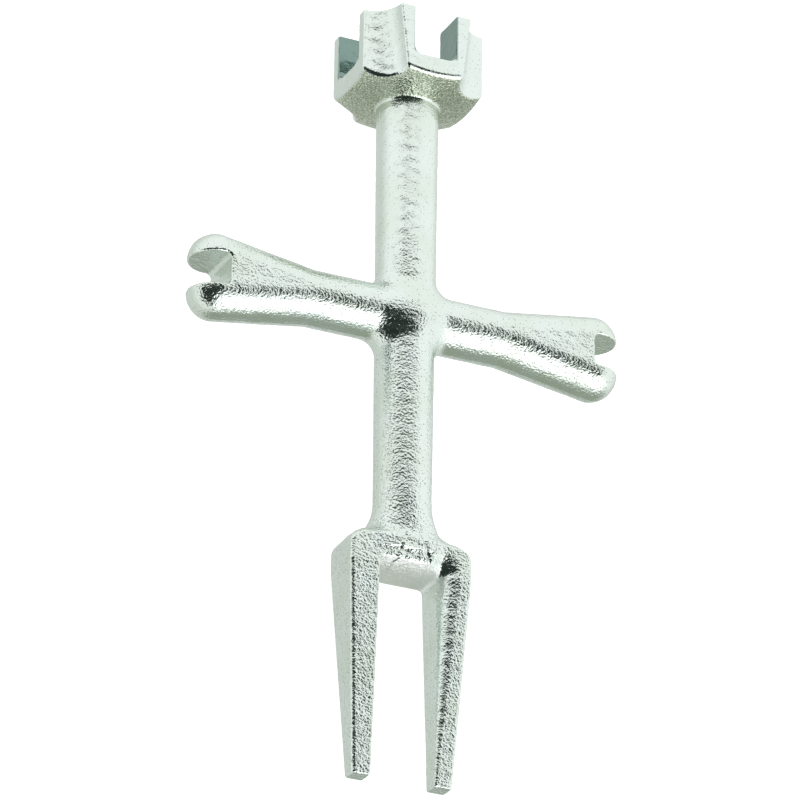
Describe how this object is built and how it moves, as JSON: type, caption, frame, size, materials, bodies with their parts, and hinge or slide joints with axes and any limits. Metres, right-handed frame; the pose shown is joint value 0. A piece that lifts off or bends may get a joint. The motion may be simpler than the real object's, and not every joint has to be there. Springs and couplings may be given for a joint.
{
  "type": "four-way strainer wrench",
  "caption": "One-piece cast plumber's wrench: a castellated crown on a round stem, slotted cross arms and a long two-prong fork for turning drain and sink strainers.",
  "frame": {"origin": "the middle of the wrench's bounding box, on the axis of the stem", "axes": "+X along the right arm, +Y up the stem from the fork to the crown, +Z out of the front of the wrench, the side the picture shows"},
  "size_m": [0.132, 0.2286, 0.0378],
  "materials": {
    "zinc_plated_casting": "bright zinc plate, satin, over a fine cast grain"
  },
  "bodies": {
    "root": {"crown_base": "zinc_plated_casting", "crown_lug_front_left": "zinc_plated_casting", "crown_lug_front_right": "zinc_plated_casting", "crown_lug_back_left": "zinc_plated_casting", "crown_lug_back_right": "zinc_plated_casting", "upper_stem": "zinc_plated_casting", "cross_hub": "zinc_plated_casting", "lower_stem": "zinc_plated_casting", "left_arm": "zinc_plated_casting", "left_upper_jaw": "zinc_plated_casting", "left_lower_jaw": "zinc_plated_casting", "right_arm": "zinc_plated_casting", "right_upper_jaw": "zinc_plated_casting", "right_lower_jaw": "zinc_plated_casting", "fork_yoke": "zinc_plated_casting", "left_prong": "zinc_plated_casting", "right_prong": "zinc_plated_casting"}
  },
  "joints": []
}
